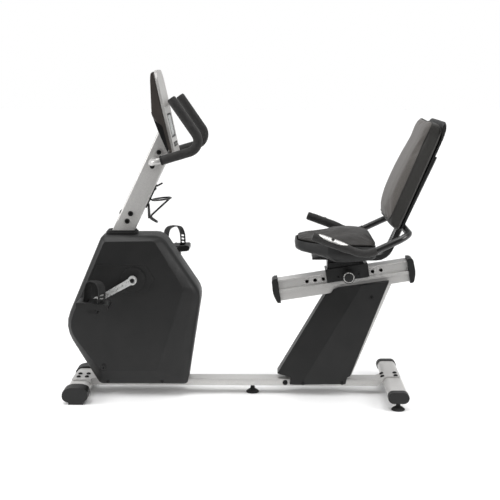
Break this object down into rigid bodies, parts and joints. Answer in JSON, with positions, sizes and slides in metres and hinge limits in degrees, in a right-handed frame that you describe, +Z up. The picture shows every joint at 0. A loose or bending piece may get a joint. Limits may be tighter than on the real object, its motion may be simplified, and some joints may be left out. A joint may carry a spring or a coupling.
{
  "type": "recumbent exercise bike",
  "caption": "Recumbent exercise bike: pedals on a shrouded belt drive with a braked flywheel, a console mast with handlebars, and a padded seat with backrest on a sloping rail.",
  "frame": {"origin": "on the floor under the middle of the bike's box", "axes": "+X towards the seat end, +Y towards the seated rider's right, +Z up"},
  "size_m": [1.4912, 0.613, 1.31],
  "materials": {
    "silver_paint": "satin silver powder coat",
    "grey_paint": "satin mid-grey powder coat",
    "black_steel": "satin black powder coat",
    "black_plastic": "fine-grained moulding",
    "rubber": "matt moulded",
    "foam": "soft sleeve, fine texture",
    "aluminium": "polished die casting",
    "steel": "turned",
    "cast_iron": "as cast, rim turned",
    "console_shell": "fine-grained moulding",
    "console_panel": "satin silver moulding",
    "lens": "clear window over a liquid-crystal display",
    "vinyl": "grained vinyl over foam",
    "mesh_cloth": "spacer mesh over foam"
  },
  "bodies": {
    "frame": {"bottle_cage": "black_steel", "console_back": "console_shell", "console_front": "console_panel", "console_neck": "black_plastic", "crank_cover_left": "black_plastic", "crank_cover_right": "black_plastic", "display_lens": "lens", "drive_belt": "rubber", "frame_upright": "black_steel", "front_end_cap_left": "black_plastic", "front_end_cap_right": "black_plastic", "front_stabiliser": "grey_paint", "handlebar_grip_left": "foam", "handlebar_grip_right": "foam", "handlebar_left": "silver_paint", "handlebar_right": "silver_paint", "main_base_tube": "silver_paint", "mast": "silver_paint", "mast_boot": "rubber", "post_cover_left": "black_plastic", "post_cover_right": "black_plastic", "power_inlet": "black_plastic", "rail_cap_front": "black_plastic", "rail_cap_rear": "black_plastic", "rear_base_tube": "silver_paint", "rear_end_cap_left": "black_plastic", "rear_end_cap_right": "black_plastic", "rear_stabiliser": "grey_paint", "seat_post": "silver_paint", "seat_rail": "silver_paint", "shroud_left": "black_plastic", "shroud_right": "black_plastic"},
    "crank": {"crank_axle": "steel", "crank_pulley": "black_plastic", "crank_arm_left": "aluminium", "crank_arm_right": "aluminium"},
    "left_pedal": {"pedal_left": "black_plastic", "pedal_strap_left": "rubber"},
    "right_pedal": {"pedal_right": "black_plastic", "pedal_strap_right": "rubber"},
    "flywheel": {"flywheel": "cast_iron"},
    "magnet": {"magnet_carrier": "black_steel"},
    "left_wheel": {"transport_wheel_left": "rubber"},
    "right_wheel": {"transport_wheel_right": "rubber"},
    "middle_foot": {"middle_foot": "rubber"},
    "left_foot": {"rear_foot_left": "rubber"},
    "right_foot": {"rear_foot_right": "rubber"},
    "seat": {"seat_carriage": "black_steel", "seat_frame": "black_steel", "seat_pan": "black_plastic", "seat_cushion": "vinyl", "backrest_cushion": "mesh_cloth", "backrest_shell": "black_plastic", "seat_handle": "black_steel", "seat_grip_left": "foam", "seat_grip_right": "foam"},
    "pin": {"pin_knob": "black_plastic"},
    "key_down": {"key_resistance_down": "rubber"},
    "key_start": {"key_start_stop": "rubber"},
    "key_up": {"key_resistance_up": "rubber"}
  },
  "joints": [
    {"name": "crank_spin", "type": "hinge", "parent": "frame", "child": "crank", "pos_m": [-0.465, 0, 0.4906], "axis": [0, 1, 0], "continuous": true},
    {"name": "left_pedal_spin", "type": "hinge", "parent": "crank", "child": "left_pedal", "pos_m": [-0.60875, 0, 0.4096], "axis": [0, 1, 0], "continuous": true},
    {"name": "right_pedal_spin", "type": "hinge", "parent": "crank", "child": "right_pedal", "pos_m": [-0.32125, 0, 0.5716], "axis": [0, 1, 0], "continuous": true},
    {"name": "flywheel_spin", "type": "hinge", "parent": "frame", "child": "flywheel", "pos_m": [-0.352, 0, 0.236], "axis": [0, 1, 0], "continuous": true},
    {"name": "magnet_swing", "type": "hinge", "parent": "frame", "child": "magnet", "pos_m": [-0.467, 0, 0.156], "axis": [0, -1, 0], "range_deg": [0, 6]},
    {"name": "left_wheel_spin", "type": "hinge", "parent": "frame", "child": "left_wheel", "pos_m": [-0.718, 0, 0.031], "axis": [0, 1, 0], "continuous": true},
    {"name": "right_wheel_spin", "type": "hinge", "parent": "frame", "child": "right_wheel", "pos_m": [-0.718, 0, 0.031], "axis": [0, 1, 0], "continuous": true},
    {"name": "middle_foot_turn", "type": "hinge", "parent": "frame", "child": "middle_foot", "pos_m": [0.008, 0, 0], "axis": [0, 0, 1], "continuous": true},
    {"name": "left_foot_turn", "type": "hinge", "parent": "frame", "child": "left_foot", "pos_m": [0.5795, -0.23, 0], "axis": [0, 0, 1], "continuous": true},
    {"name": "right_foot_turn", "type": "hinge", "parent": "frame", "child": "right_foot", "pos_m": [0.5795, 0.23, 0], "axis": [0, 0, 1], "continuous": true},
    {"name": "seat_slide", "type": "slide", "parent": "frame", "child": "seat", "axis": [0.9875, 0, 0.1575], "range_m": [-0.166, 0.1328]},
    {"name": "pin_pull", "type": "slide", "parent": "seat", "child": "pin", "axis": [0, -1, 0], "range_m": [0, 0.01], "stiffness_N_per_m": 600, "springref_m": -0.004},
    {"name": "key_down_press", "type": "slide", "parent": "frame", "child": "key_down", "axis": [-0.9767, 0, -0.2147], "range_m": [0, 0.0012], "stiffness_N_per_m": 800, "springref_m": -0.0006},
    {"name": "key_start_press", "type": "slide", "parent": "frame", "child": "key_start", "axis": [-0.9767, 0, -0.2147], "range_m": [0, 0.0012], "stiffness_N_per_m": 800, "springref_m": -0.0006},
    {"name": "key_up_press", "type": "slide", "parent": "frame", "child": "key_up", "axis": [-0.9767, 0, -0.2147], "range_m": [0, 0.0012], "stiffness_N_per_m": 800, "springref_m": -0.0006}
  ],
  "couplings": [
    {"joint": "flywheel_spin", "follows": "crank_spin", "ratio": 4.6667}
  ]
}
